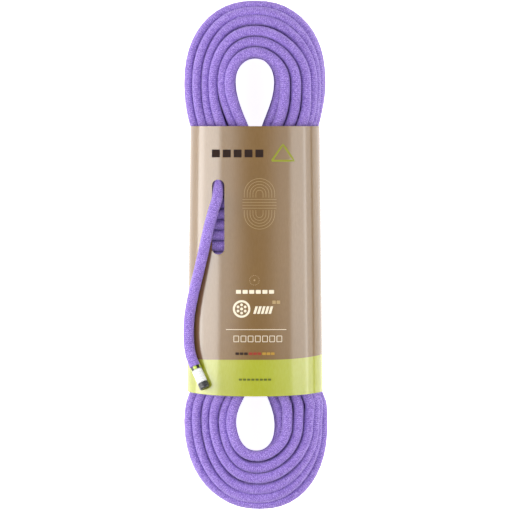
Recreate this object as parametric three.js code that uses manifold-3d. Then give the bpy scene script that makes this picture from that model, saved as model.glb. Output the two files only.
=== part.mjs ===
// A dynamic climbing rope as it is packed for the shelf: 60 m of 9.6 mm kernmantle rope wound into
// a flat-lying hank, bound by wraps round its waist and held in a folded board sleeve. One end of
// the rope comes out of a slot in the sleeve and hangs over the sleeve's front.
// Millimetres. +Z is up, +Y runs along the hank, and the pack lies on the sleeve's flat back, z = 0.

import * as THREE from 'three';
import { mergeVertices } from 'three/addons/utils/BufferGeometryUtils.js';
import Module from 'manifold-3d';

const wasm = await Module();
wasm.setup();

// The rope.
const ROPE_D = 9.6;
const ROPE_R = ROPE_D / 2;
const SHEATH_WALL = 1.15;
const CORE_STRAND_R = 1.06;
const CORE_STRAND_SPACING = 2.3;
const GAP = 0.3;

// The hank: half-widths at its waist and at the widest place of each lobe, and how far each lobe
// reaches at its back and at its front.
const EYE_APEX = 177.2;
const WAIST_HALF_WIDTH = 48;
const TOP_LOBE = {
    widestY: 154, halfWidth: 64.5, backEnd: 230.4, frontEnd: 229,
    eyeHalfWidth: 17.7, flareStart: 70, eyeStart: 88,
};
const BOTTOM_LOBE = {
    widestY: 150, halfWidth: 65.6, backEnd: 236.2, frontEnd: 231,
    eyeHalfWidth: 18.2, flareStart: 97, eyeStart: 97,
};
const WAIST_BACK_Z = 12.2;
const WAIST_FRONT_Z = 114.8;
const LOBE_BACK_Z = 0.1;
const LOBE_FRONT_Z = 115.2;
const LOBE_EDGE_Z = 97;
const HANK_ROUNDING = 10;
const WAIST_CORNER_R = 16;
const FLARE_POINTS = 7;
const ARC_POINTS = 11;

// The lobes' front is domed: its height in Z over X, from the right to the left.
const DOME = [
    [61, 83], [56, 93], [50, 104], [42, 111.5], [30, 115.6],
    [-21, 115.6], [-30, 111], [-45, 102.5], [-60, 93],
];

// The wraps round the waist.
const WRAP_BOTTOM_Y = -78.2;
const WRAP_TOP_Y = 51.6;
const WRAP_BACK_Z = 2.2;
const WRAP_FRONT_Z = 124.8;
const EXIT_TRIM_Y = 74;

// The board sleeve. It is a little wider at its bottom end than at its top end.
const SLEEVE_TOP_Y = 115.9;
const SLEEVE_BOTTOM_Y = -126;
const SLEEVE_HALF_WIDTH_TOP = 58.4;
const SLEEVE_HALF_WIDTH_BOTTOM = 61.4;
const SLEEVE_FRONT_Z = 125.8;
const SLEEVE_CORNER_R = 27;
const BOARD = 0.7;
const FLAP_STEP = 1.2;
const FLAP_HALF_OVERLAP = 14;
const FLAP_RAMP = 8;
const SLOT = { x: -32.9, topY: 68.1, bottomY: 1.2, width: 11 };
const SLIDE = 6;

// The tail's route: from above the slot over the sleeve's left shoulder, and back on to its front.
const TAIL_ROUTE = [
    [-36.85, 41.4, 131.0],
    [-38.2, 36.8, 131.3],
    [-40.6, 28.0, 131.0],
    [-44.2, 12.0, 129.7],
    [-48.3, -6.0, 127.3],
    [-52.7, -24.0, 124.3],
    [-56.5, -41.0, 121.0],
    [-58.9, -56.0, 118.7],
    [-59.5, -68.0, 118.0],
    [-58.9, -82.0, 119.3],
    [-56.9, -91.5, 121.5],
    [-53.6, -99.2, 123.8],
];
const TAIL_STEPS = 14;

// The rope's last turn: round the hank's right front corner, along its front, and out of the slot.
const UNDER_BOARD_Z = WRAP_FRONT_Z - ROPE_R;
const EXIT_ROUTE = [
    [53.0, 62.6, 98.8],
    [51.4, 62.9, 107.0],
    [46.8, 63.6, 113.9],
    [39.9, 65.2, 118.4],
    [31.5, 68.6, UNDER_BOARD_Z],
    [20.0, 75.0, UNDER_BOARD_Z],
    [8.0, 81.5, UNDER_BOARD_Z],
    [-5.0, 86.6, UNDER_BOARD_Z],
    [-16.0, 87.4, UNDER_BOARD_Z],
    [-25.2, 83.8, UNDER_BOARD_Z],
    [-30.9, 76.4, UNDER_BOARD_Z],
    [-32.9, 68.0, UNDER_BOARD_Z],
    [-33.0, 62.0, 121.2],
    [-33.1, 58.0, 123.6],
    [-33.4, 54.0, 126.05],
    [-34.1, 50.0, 128.3],
    [-35.3, 46.0, 129.9],
    [-36.6, 42.2, 130.9],
];
const EXIT_STEPS = 18;

// What is on each end of the rope: a paper label under a clear film, a printed band, and a cap.
const LABEL_LENGTH = 12.5;
const BAND_LENGTH = 3;
const CAP_LENGTH = 5.8;
const LABEL_WALL = 0.3;
const FILM_WALL = 0.2;
const SEALED_CORE_R = 3.9;

// The end that the winding starts from lies in the hank's back, inside the sleeve.
const INNER_END = { x: -4.9, topY: -92, z: WAIST_BACK_Z + ROPE_R + 0.4 };
const POCKET = { halfWidth: 5.6, bottomY: -122, depth: 12 };

const ROUND_SIDES = 12;

// Materials.
function finish(colour, roughness, metalness = 0) {
    return new THREE.MeshStandardMaterial({ color: colour, roughness, metalness });
}

const sheathMaterial = () => finish(0x9f7cdc, 0.75);
const coreMaterial = () => finish(0xf2f0ea, 0.8);
const boardMaterial = () => finish(0xa98c5f, 0.55);
const labelMaterial = () => finish(0xf5f5f2, 0.5);
const bandMaterial = () => finish(0xb9cc3a, 0.5);
const filmMaterial = () => finish(0xe9edf0, 0.12);
const capMaterial = () => finish(0x17171a, 0.3);
const glueMaterial = () => finish(0xd8c9a0, 0.6);

const rope = new THREE.Group();

function addPiece(name, geometry, material) {
    const mesh = new THREE.Mesh(geometry, material);
    mesh.name = name;
    rope.add(mesh);
    return mesh;
}

// Solids.
function weld(geometry) {
    const bare = geometry.clone();
    bare.deleteAttribute('normal');
    bare.deleteAttribute('uv');
    return mergeVertices(bare, 1e-4);
}

function toManifold(geometry) {
    const welded = weld(geometry);
    return new wasm.Manifold(new wasm.Mesh({
        numProp: 3,
        vertProperties: new Float32Array(welded.attributes.position.array),
        triVerts: new Uint32Array(welded.index.array),
    }));
}

function fromManifold(solid) {
    const result = solid.getMesh();
    const out = new THREE.BufferGeometry();
    out.setAttribute('position', new THREE.BufferAttribute(result.vertProperties, 3));
    out.setIndex(new THREE.BufferAttribute(result.triVerts, 1));
    out.computeVertexNormals();
    return out;
}

function cut(geometry, tool) {
    return fromManifold(toManifold(geometry).subtract(toManifold(tool)));
}

function common(geometry, other) {
    return fromManifold(toManifold(geometry).intersect(toManifold(other)));
}

function ringPoints(radius, sides, x = 0, y = 0) {
    const points = [];
    for (let i = 0; i < sides; i += 1) {
        const angle = (i / sides) * 2 * Math.PI;
        points.push(new THREE.Vector2(x + radius * Math.cos(angle), y + radius * Math.sin(angle)));
    }
    return points;
}

function roundShape(radius, sides, innerRadius = 0) {
    const shape = new THREE.Shape(ringPoints(radius, sides));
    if (innerRadius > 0) {
        shape.holes.push(new THREE.Path(ringPoints(innerRadius, sides).reverse()));
    }
    return shape;
}

function smoothRoute(points) {
    return new THREE.CatmullRomCurve3(points.map((p) => new THREE.Vector3(...p)), false, 'centripetal');
}

function alongRoute(shape, route, steps) {
    return new THREE.ExtrudeGeometry(shape, { steps, bevelEnabled: false, extrudePath: route });
}

function ease(t) {
    const clamped = Math.min(Math.max(t, 0), 1);
    return 0.5 - 0.5 * Math.cos(Math.PI * clamped);
}

function mix(a, b, t) {
    return a + (b - a) * t;
}

// The hank: one solid of the loops' outer shape, with an eye through each lobe.
// Each half-outline flares out of the waist and closes over its lobe in half an ellipse.
function lobeHalfOutline(lobe, startY, startHalfWidth, halfWidth, apexY) {
    const points = [];
    for (let i = 1; i <= FLARE_POINTS; i += 1) {
        const t = i / FLARE_POINTS;
        const y = mix(startY, lobe.widestY, t);
        points.push([mix(startHalfWidth, halfWidth, ease(t)), y]);
    }
    for (let i = 1; i < ARC_POINTS; i += 1) {
        const angle = (i / ARC_POINTS) * (Math.PI / 2);
        const y = lobe.widestY + (apexY - lobe.widestY) * Math.sin(angle);
        points.push([halfWidth * Math.cos(angle), y]);
    }
    return points;
}

function mirrorOverApex(half, apexY) {
    const otherSide = half.slice().reverse().map(([x, y]) => [-x, y]);
    return [...half, [0, apexY], ...otherSide];
}

function hankOutline() {
    const side = (lobe) => [
        [WAIST_HALF_WIDTH, lobe.flareStart],
        ...lobeHalfOutline(lobe, lobe.flareStart, WAIST_HALF_WIDTH, lobe.halfWidth, lobe.backEnd),
    ];
    const top = mirrorOverApex(side(TOP_LOBE), TOP_LOBE.backEnd);
    const bottom = mirrorOverApex(side(BOTTOM_LOBE), BOTTOM_LOBE.backEnd).map(([x, y]) => [-x, -y]);
    const middle = (sign) => [-60, -20, 20].map((y) => [sign * WAIST_HALF_WIDTH, -sign * y]);
    return [...top, ...middle(-1).reverse(), ...bottom, ...middle(1).reverse()];
}

function eyeOutline(lobe, sign) {
    const half = lobeHalfOutline(lobe, lobe.eyeStart, 0, lobe.eyeHalfWidth, EYE_APEX);
    const points = [[0, lobe.eyeStart], ...mirrorOverApex(half, EYE_APEX)];
    return points.map(([x, y]) => [sign * x, sign * y]);
}

function toVectors(points) {
    return points.map(([x, y]) => new THREE.Vector2(x, y));
}

// The hank from the side, in Y and Z. The lobes sag to the surface that the pack lies on, and
// the waist stays up inside its wraps.
function sideOutline() {
    const flare = (lobe, sign, waistZ, lobeZ) => [0, 0.3, 0.6, 1].map((t) => {
        const y = sign * mix(lobe.flareStart, lobe.widestY, t);
        return [y, mix(waistZ, lobeZ, ease(t))];
    });
    const end = (lobe, sign) => [-90, -60, -30, 0, 30, 60, 90].map((degrees) => {
        const angle = (degrees * Math.PI) / 180;
        const height = 0.5 + 0.5 * Math.sin(angle);
        const edge = mix(lobe.backEnd, lobe.frontEnd, Math.max(2 * height - 1, 0)) - HANK_ROUNDING;
        return [sign * (edge + HANK_ROUNDING * Math.cos(angle)), mix(LOBE_BACK_Z, LOBE_EDGE_Z, height)];
    });
    return [
        ...flare(TOP_LOBE, 1, WAIST_BACK_Z, LOBE_BACK_Z),
        ...end(TOP_LOBE, 1),
        ...flare(TOP_LOBE, 1, WAIST_FRONT_Z, LOBE_FRONT_Z).reverse(),
        ...flare(BOTTOM_LOBE, -1, WAIST_FRONT_Z, LOBE_FRONT_Z),
        ...end(BOTTOM_LOBE, -1).reverse(),
        ...flare(BOTTOM_LOBE, -1, WAIST_BACK_Z, LOBE_BACK_Z).reverse(),
    ];
}

function hankGeometry() {
    const shape = new THREE.Shape(toVectors(hankOutline()));
    shape.holes.push(new THREE.Path(toVectors(eyeOutline(TOP_LOBE, 1)).reverse()));
    shape.holes.push(new THREE.Path(toVectors(eyeOutline(BOTTOM_LOBE, -1)).reverse()));
    const plan = new THREE.ExtrudeGeometry(shape, { depth: WAIST_FRONT_Z + 10, bevelEnabled: false });
    plan.translate(0, 0, -5);
    const side = new THREE.ExtrudeGeometry(new THREE.Shape(toVectors(sideOutline())), {
        depth: 2 * BOTTOM_LOBE.halfWidth + 20,
        bevelEnabled: false,
    });
    // Stand the side outline up: its x becomes +Y, its y becomes +Z, and its depth becomes +X.
    side.rotateX(Math.PI / 2);
    side.rotateZ(Math.PI / 2);
    side.translate(-BOTTOM_LOBE.halfWidth - 10, 0, 0);
    const reach = BOTTOM_LOBE.backEnd + 10;
    const topDomed = cut(common(plan, side), outsideOf(domeSection(), SLEEVE_TOP_Y - 6, reach));
    const domed = cut(topDomed, outsideOf(domeSection(), -reach, SLEEVE_BOTTOM_Y + 6));
    const trimmed = cut(domed, outsideOf(waistSection(0), WRAP_BOTTOM_Y - 3, EXIT_TRIM_Y));
    return cut(trimmed, taper(outsideOf(wrapSection(), SLEEVE_BOTTOM_Y - 2, SLEEVE_TOP_Y + SLIDE + 2)));
}

// The pocket in the hank's back where the inner end of the rope lies.
function pocketTool() {
    const length = INNER_END.topY - POCKET.bottomY;
    const height = POCKET.depth + WAIST_BACK_Z + 2;
    const box = new THREE.BoxGeometry(2 * POCKET.halfWidth, length, height);
    box.translate(INNER_END.x, POCKET.bottomY + length / 2, height / 2 - 2);
    return box;
}

// A rounded rectangle that stands on its flat back, as points in X and Z.
function roundedSection(halfWidth, backZ, frontZ, radius, arcSteps) {
    const corners = [
        [halfWidth - radius, frontZ - radius, 0],
        [-halfWidth + radius, frontZ - radius, 1],
        [-halfWidth + radius, backZ + radius, 2],
        [halfWidth - radius, backZ + radius, 3],
    ];
    const points = [];
    for (const [x, z, quarter] of corners) {
        for (let i = 0; i <= arcSteps; i += 1) {
            const angle = (quarter + i / arcSteps) * (Math.PI / 2);
            points.push([x + radius * Math.cos(angle), z + radius * Math.sin(angle)]);
        }
    }
    return points;
}

// An outline in X and Z, extruded along Y from bottomY to topY.
function extrudeAlongY(shape, bottomY, topY) {
    const geometry = new THREE.ExtrudeGeometry(shape, { depth: topY - bottomY, bevelEnabled: false });
    geometry.rotateX(Math.PI / 2);
    geometry.translate(0, topY, 0);
    return geometry;
}

function sleeveHalfWidth(y) {
    const t = (y - SLEEVE_BOTTOM_Y) / (SLEEVE_TOP_Y - SLEEVE_BOTTOM_Y);
    return mix(SLEEVE_HALF_WIDTH_BOTTOM, SLEEVE_HALF_WIDTH_TOP, t);
}

// Widen what was extruded at the sleeve's top width in step with the sleeve's taper.
function taper(geometry) {
    const position = geometry.attributes.position;
    for (let i = 0; i < position.count; i += 1) {
        const factor = sleeveHalfWidth(position.getY(i)) / SLEEVE_HALF_WIDTH_TOP;
        position.setX(i, position.getX(i) * factor);
    }
    geometry.computeVertexNormals();
    return geometry;
}

// The wraps' outer section fills the sleeve, and the waist's section fills the wraps.
function wrapSection() {
    const half = SLEEVE_HALF_WIDTH_TOP - BOARD - GAP;
    return roundedSection(half, WRAP_BACK_Z, WRAP_FRONT_Z, SLEEVE_CORNER_R - BOARD - GAP, 5);
}

// The lobes' section under their dome, open at the sides and the back.
function domeSection() {
    const side = BOTTOM_LOBE.halfWidth + 5;
    return [[side, -5], [side, 66], ...DOME, [-side, 82], [-side, -5]];
}

function waistSection(gap) {
    const radius = WAIST_CORNER_R + gap;
    return roundedSection(WAIST_HALF_WIDTH + gap, WAIST_BACK_Z - gap, WAIST_FRONT_Z + gap, radius, 4);
}

// Everything outside a section in X and Z, from bottomY to topY.
function outsideOf(section, bottomY, topY) {
    const reach = 90;
    const block = [[-reach, -reach], [reach, -reach], [reach, 2 * reach], [-reach, 2 * reach]];
    const shape = new THREE.Shape(toVectors(block));
    shape.holes.push(new THREE.Path(toVectors(section).reverse()));
    return extrudeAlongY(shape, bottomY, topY);
}

function wrapsGeometry() {
    const shape = new THREE.Shape(toVectors(wrapSection()));
    shape.holes.push(new THREE.Path(toVectors(waistSection(GAP)).reverse()));
    const wraps = taper(extrudeAlongY(shape, WRAP_BOTTOM_Y, WRAP_TOP_Y));
    // The last turn and the tail press their own channel into the wraps that they cross.
    const channel = roundShape(ROPE_R + 2 * GAP, ROUND_SIDES);
    const underExit = cut(wraps, alongRoute(channel, smoothRoute(EXIT_ROUTE), EXIT_STEPS));
    return cut(underExit, alongRoute(channel, smoothRoute(TAIL_ROUTE), TAIL_STEPS));
}

// The sleeve is one sheet of board, folded round and lapped over itself at the back.
function sleeveSection() {
    const half = SLEEVE_HALF_WIDTH_TOP;
    const outerArc = roundedSection(half, 0, SLEEVE_FRONT_Z, SLEEVE_CORNER_R, 6);
    const innerRadius = SLEEVE_CORNER_R - BOARD;
    const innerArc = roundedSection(half - BOARD, BOARD, SLEEVE_FRONT_Z - BOARD, innerRadius, 6);
    const cornerPoints = outerArc.length / 4;
    const start = 3 * cornerPoints;
    const fromRightBack = (points) => [...points.slice(start), ...points.slice(0, start)];
    const outerFlapEnd = -FLAP_HALF_OVERLAP;
    const innerFlapEnd = FLAP_HALF_OVERLAP;
    const rampStart = outerFlapEnd - FLAP_RAMP;
    const outside = fromRightBack(outerArc);
    const inside = fromRightBack(innerArc);
    return [
        [outerFlapEnd, BOARD],
        [outerFlapEnd, 0],
        ...outside,
        [rampStart, 0],
        [outerFlapEnd - 1, FLAP_STEP],
        [innerFlapEnd, FLAP_STEP],
        [innerFlapEnd, FLAP_STEP + BOARD],
        [outerFlapEnd - 1, FLAP_STEP + BOARD],
        [rampStart, BOARD],
        ...inside.reverse(),
    ];
}

function slotTool() {
    const radius = SLOT.width / 2;
    const shape = new THREE.Shape();
    shape.absarc(SLOT.x, SLOT.topY - radius, radius, 0, Math.PI, false);
    shape.absarc(SLOT.x, SLOT.bottomY + radius, radius, Math.PI, 2 * Math.PI, false);
    const geometry = new THREE.ExtrudeGeometry(shape, { depth: 30, bevelEnabled: false, curveSegments: 8 });
    geometry.translate(0, 0, SLEEVE_FRONT_Z - 20);
    return geometry;
}

function sleeveGeometry() {
    const shape = new THREE.Shape(toVectors(sleeveSection()));
    return cut(taper(extrudeAlongY(shape, SLEEVE_BOTTOM_Y, SLEEVE_TOP_Y)), slotTool());
}

function glueStripGeometry() {
    const width = 2 * FLAP_HALF_OVERLAP - 8;
    const thickness = FLAP_STEP - BOARD - 0.3;
    const length = SLEEVE_TOP_Y - SLEEVE_BOTTOM_Y - 16;
    const box = new THREE.BoxGeometry(width, length, thickness);
    box.translate(0, (SLEEVE_TOP_Y + SLEEVE_BOTTOM_Y) / 2, (FLAP_STEP + BOARD) / 2);
    return box;
}

// A straight hollow or solid round piece along +Y from 0, to be turned onto an end of the rope.
function straightTube(outerRadius, innerRadius, start, end) {
    const shape = roundShape(outerRadius, ROUND_SIDES, innerRadius);
    const geometry = new THREE.ExtrudeGeometry(shape, { depth: end - start, bevelEnabled: false });
    geometry.translate(0, 0, start);
    return geometry;
}

// The cap is a dipped tip with one round edge.
function capGeometry(start) {
    const edge = 1.2;
    const end = start + CAP_LENGTH;
    const profile = [
        new THREE.Vector2(0, start),
        new THREE.Vector2(ROPE_R, start),
        new THREE.Vector2(ROPE_R, end - edge),
        new THREE.Vector2(ROPE_R - 0.35 * edge, end - 0.35 * edge),
        new THREE.Vector2(ROPE_R - edge, end),
        new THREE.Vector2(0, end),
    ];
    const geometry = new THREE.LatheGeometry(profile, ROUND_SIDES);
    geometry.rotateX(Math.PI / 2);
    return geometry;
}

// Printed band, label, film, sealed core and cap, in line from an end of the rope outwards.
function addRopeEnd(prefix, origin, direction) {
    const bandStart = GAP;
    const bandEnd = bandStart + BAND_LENGTH;
    const labelStart = bandEnd + GAP;
    const labelEnd = labelStart + LABEL_LENGTH;
    const capStart = labelEnd + GAP;
    const filmRadius = ROPE_R;
    const filmInner = filmRadius - FILM_WALL;
    const labelRadius = filmInner - 0.1;
    const labelInner = labelRadius - LABEL_WALL;
    const pieces = [
        ['sealed_core', straightTube(SEALED_CORE_R, 0, bandStart, labelEnd), coreMaterial()],
        ['marker_band', straightTube(filmRadius, labelInner, bandStart, bandEnd), bandMaterial()],
        ['label', straightTube(labelRadius, labelInner, labelStart, labelEnd), labelMaterial()],
        ['label_film', straightTube(filmRadius, filmInner, labelStart, labelEnd), filmMaterial()],
        ['cap', capGeometry(capStart), capMaterial()],
    ];
    const turn = new THREE.Quaternion().setFromUnitVectors(new THREE.Vector3(0, 0, 1), direction);
    for (const [name, geometry, material] of pieces) {
        const mesh = addPiece(`${prefix}_${name}`, geometry, material);
        mesh.position.copy(origin);
        mesh.quaternion.copy(turn);
    }
}

// The tail is built as kernmantle rope is: a woven sheath round seven core strands.
function addTail() {
    const route = smoothRoute(TAIL_ROUTE);
    const sheath = roundShape(ROPE_R, ROUND_SIDES, ROPE_R - SHEATH_WALL);
    addPiece('tail_sheath', alongRoute(sheath, route, TAIL_STEPS), sheathMaterial());
    for (let i = 0; i < 7; i += 1) {
        const angle = (i / 6) * 2 * Math.PI;
        const reach = i < 6 ? CORE_STRAND_SPACING : 0;
        const x = reach * Math.cos(angle);
        const y = reach * Math.sin(angle);
        const strand = new THREE.Shape(ringPoints(CORE_STRAND_R, 6, x, y));
        addPiece(`tail_core_strand_${i + 1}`, alongRoute(strand, route, TAIL_STEPS), coreMaterial());
    }
    addRopeEnd('tail_end', route.getPoint(1), route.getTangent(1));
}

addPiece('rope_hank', cut(hankGeometry(), pocketTool()), sheathMaterial());
addPiece('waist_wraps', wrapsGeometry(), sheathMaterial());
addPiece('exit_turn', alongRoute(roundShape(ROPE_R, ROUND_SIDES), smoothRoute(EXIT_ROUTE), EXIT_STEPS),
    sheathMaterial());
addTail();
addRopeEnd('inner_end', new THREE.Vector3(INNER_END.x, INNER_END.topY - 2, INNER_END.z),
    new THREE.Vector3(0, -1, 0));
addPiece('board_sleeve', sleeveGeometry(), boardMaterial());
addPiece('sleeve_glue_strip', glueStripGeometry(), glueMaterial());

export default rope;
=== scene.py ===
"""A dynamic climbing rope as packed for the shelf: a 60 m hank in a board sleeve, with its tail out.

Metres, in the CAD model's frame: +Z up out of the sleeve's front, +Y along the hank.
"""

import math

import bmesh
import bpy
import numpy as np
from mathutils import Matrix, Vector


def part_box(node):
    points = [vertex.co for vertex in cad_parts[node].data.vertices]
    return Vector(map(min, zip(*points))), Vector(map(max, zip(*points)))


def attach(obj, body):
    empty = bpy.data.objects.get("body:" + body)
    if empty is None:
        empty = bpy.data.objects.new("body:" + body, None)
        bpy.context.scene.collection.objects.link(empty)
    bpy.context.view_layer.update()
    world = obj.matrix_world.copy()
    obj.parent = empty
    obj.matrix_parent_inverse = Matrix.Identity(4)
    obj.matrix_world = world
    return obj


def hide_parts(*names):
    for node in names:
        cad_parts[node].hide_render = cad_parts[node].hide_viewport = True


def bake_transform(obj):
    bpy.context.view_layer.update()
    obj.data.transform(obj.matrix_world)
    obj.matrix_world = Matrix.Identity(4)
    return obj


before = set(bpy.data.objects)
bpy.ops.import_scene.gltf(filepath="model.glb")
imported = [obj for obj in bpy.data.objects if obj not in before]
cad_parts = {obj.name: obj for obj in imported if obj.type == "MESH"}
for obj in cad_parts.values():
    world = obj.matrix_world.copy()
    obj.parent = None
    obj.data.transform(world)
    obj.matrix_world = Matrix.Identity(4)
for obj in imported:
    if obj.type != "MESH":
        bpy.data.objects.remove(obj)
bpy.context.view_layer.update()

MM = 0.001
ROPE_D = 0.0096
ROPE_R = ROPE_D / 2

# ---------------------------------------------------------------- camera

CAMERA_HEIGHT = 3.3
CAMERA_Y = 0.112
VIEW_WIDTH = 0.459
LOOK_AT = Vector((0.0, 0.0, 0.105))


def make_camera():
    data = bpy.data.cameras.new("camera")
    camera = bpy.data.objects.new("camera", data)
    bpy.context.collection.objects.link(camera)
    camera.location = (0.0, CAMERA_Y, CAMERA_HEIGHT)
    sight = LOOK_AT - camera.location
    # Looking down, with +Y upwards in the view.
    back = -sight.normalized()
    right = Vector((1.0, 0.0, 0.0))
    up = back.cross(right)
    turn = Matrix((right, up, back)).transposed()
    camera.rotation_euler = turn.to_euler()
    data.sensor_width = 36.0
    data.lens = data.sensor_width * sight.length / VIEW_WIDTH
    data.clip_start = 0.1
    data.clip_end = 20.0
    bpy.context.scene.camera = camera


make_camera()

# ---------------------------------------------------------------- the rope's route

# Turns in each column of loops, from the eye outwards. Odd and even numbers alternate, so that
# each column's turns lie in the hollows between its neighbours' turns.
TURNS = [11, 10, 11, 10, 9, 8]
WAIST_X = 0.0049
WAIST_PITCH_X = 0.00766
WAIST_MIDDLE_Z = 0.0635
WAIST_PITCH_Z = 0.0093
LOBE_PITCH_X = 0.00738
APEX_Y = 0.1813
APEX_PITCH = 0.0084
WAIST_END = 0.060

# The heights of each column's back and front turn at a lobe's left side, apex and right side.
# The columns round the eye stand highest and the outer ones lie lower, as in a dome.
LEFT_BACK = [0.0052, 0.0101, 0.0052, 0.0101, 0.0150, 0.0180]
LEFT_FRONT = [0.1100, 0.1041, 0.1010, 0.0945, 0.0912, 0.0858]
APEX_BACK = [0.0052, 0.0101, 0.0052, 0.0090, 0.0120, 0.0140]
APEX_FRONT = [0.1100, 0.1050, 0.1035, 0.0975, 0.0940, 0.0875]
RIGHT_BACK = [0.0052, 0.0101, 0.0052, 0.0077, 0.0090, 0.0080]
RIGHT_FRONT = [0.1100, 0.1070, 0.1020, 0.0942, 0.0850, 0.0757]

# Each lobe: where it is widest, where its columns start to leave the waist, how far its back
# turns reach past its front ones, how far it leans to the right, and how far each column's
# front turn lies out of its column at the sleeve's edge, at the widest place and at the apex.
TOP = {
    "widest": 0.154, "inner_x": 0.0225, "inner_flare": 0.088, "outer_flare": 0.070,
    "spread": 0.028, "lean": 0.0, "edge": 0.1195,
    "left_edge": [-0.0008, -0.0011, 0.0019, 0.0016, 0.0017, 0.0014],
    "left_wide": [0.0003, -0.0004, 0.0002, -0.0002, 0.0005, 0.0003],
    "apex": [0.0007, 0.0021, 0.0036, 0.0052, 0.0045, 0.0014],
    "right_wide": [0.0044, 0.0069, 0.0088, 0.0069, 0.0030, -0.0010],
    "right_edge": [0.0082, 0.0107, 0.0134, 0.0098, 0.0054, 0.0003],
}
BOTTOM = {
    "widest": 0.150, "inner_x": 0.0230, "inner_flare": 0.097, "outer_flare": 0.097,
    "spread": 0.100, "lean": 0.0030, "edge": 0.1290,
    "left_edge": [-0.0013, -0.0018, 0.0010, 0.0010, 0.0022, 0.0026],
    "left_wide": [-0.0013, -0.0020, -0.0004, -0.0010, 0.0, 0.0007],
    "apex": [0.0002, 0.0024, 0.0039, 0.0060, 0.0055, 0.0037],
    "right_wide": [0.0059, 0.0084, 0.0101, 0.0086, 0.0043, 0.0005],
    "right_edge": [0.0095, 0.0130, 0.0160, 0.0135, 0.0090, 0.0033],
}
PUSH_START = 0.072

# Packed side by side in the lobes, the rope is squeezed a little narrower and taller.
SQUEEZED_WIDTH = 0.91
SQUEEZED_HEIGHT = 1.03

WRAP_PITCH = 0.0096
WRAP_TOP_Y = 0.0467
WRAP_COUNT = 13

# Where the rope goes from the hank's last loop, down the right side and round into the wraps.
ENTRY = [
    (0.0434, -0.0314, 0.0310),
    (0.0436, -0.0424, 0.0312),
    (0.0445, -0.0537, 0.0322),
    (0.0475, -0.0637, 0.0362),
    (0.0512, -0.0704, 0.0440),
    (0.0542, -0.0730, 0.0545),
    (0.0553, -0.0724, 0.0680),
    (0.0553, -0.0707, 0.0830),
]

# From the last wrap's right side over the hank's front, out of the slot, and down the sleeve.
EXIT = [
    (0.0532, 0.0623, 0.0800),
    (0.0530, 0.0626, 0.0988),
    (0.0514, 0.0629, 0.1070),
    (0.0468, 0.0636, 0.1139),
    (0.0399, 0.0652, 0.1184),
    (0.0315, 0.0686, 0.1200),
    (0.0200, 0.0750, 0.1200),
    (0.0080, 0.0815, 0.1200),
    (-0.0050, 0.0866, 0.1200),
    (-0.0160, 0.0874, 0.1200),
    (-0.0252, 0.0838, 0.1200),
    (-0.0309, 0.0764, 0.1200),
    (-0.0329, 0.0680, 0.1200),
    (-0.0330, 0.0620, 0.1212),
    (-0.0331, 0.0580, 0.1236),
    (-0.0334, 0.0540, 0.12605),
    (-0.0341, 0.0500, 0.1283),
    (-0.0353, 0.0460, 0.1299),
    (-0.0366, 0.0422, 0.1309),
]
TAIL = [
    (-0.0382, 0.0368, 0.1313),
    (-0.0406, 0.0280, 0.1310),
    (-0.0442, 0.0120, 0.1297),
    (-0.0483, -0.0060, 0.1273),
    (-0.0527, -0.0240, 0.1243),
    (-0.0565, -0.0410, 0.1210),
    (-0.0589, -0.0560, 0.1187),
    (-0.0595, -0.0680, 0.1180),
    (-0.0589, -0.0820, 0.1193),
    (-0.0569, -0.0915, 0.1215),
    (-0.0536, -0.0992, 0.1238),
]
# The hank's piece of the rope hands over to the tail's here, under the board above the slot.
HANDOVER_Y = 0.078


def ease(t):
    return 0.5 - 0.5 * math.cos(math.pi * min(max(t, 0.0), 1.0))


def mix(a, b, t):
    return a + (b - a) * t


def flare(lobe, column, y):
    """How far out of the waist a column is at y: 0 in the waist, 1 at the lobe's widest place."""
    start = mix(lobe["inner_flare"], lobe["outer_flare"], column / 5)
    return ease((abs(y) - start) / (lobe["widest"] - start))


def waist_x(column):
    return WAIST_X + WAIST_PITCH_X * column


def lobe_x(lobe, column):
    return lobe["inner_x"] + LOBE_PITCH_X * column


def waist_z(column, level):
    return WAIST_MIDDLE_Z + (level - (TURNS[column] - 1) / 2) * WAIST_PITCH_Z


def front_push(lobe, column, y, right_share):
    """How far out of its column the front turn lies, on its way between the waist and the apex."""
    edge = mix(lobe["left_edge"][column], lobe["right_edge"][column], right_share)
    wide = mix(lobe["left_wide"][column], lobe["right_wide"][column], right_share)
    out = ease((abs(y) - PUSH_START) / (lobe["edge"] - 0.006 - PUSH_START))
    return out * mix(edge, wide, ease((abs(y) - lobe["edge"]) / (lobe["widest"] - lobe["edge"])))


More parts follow.
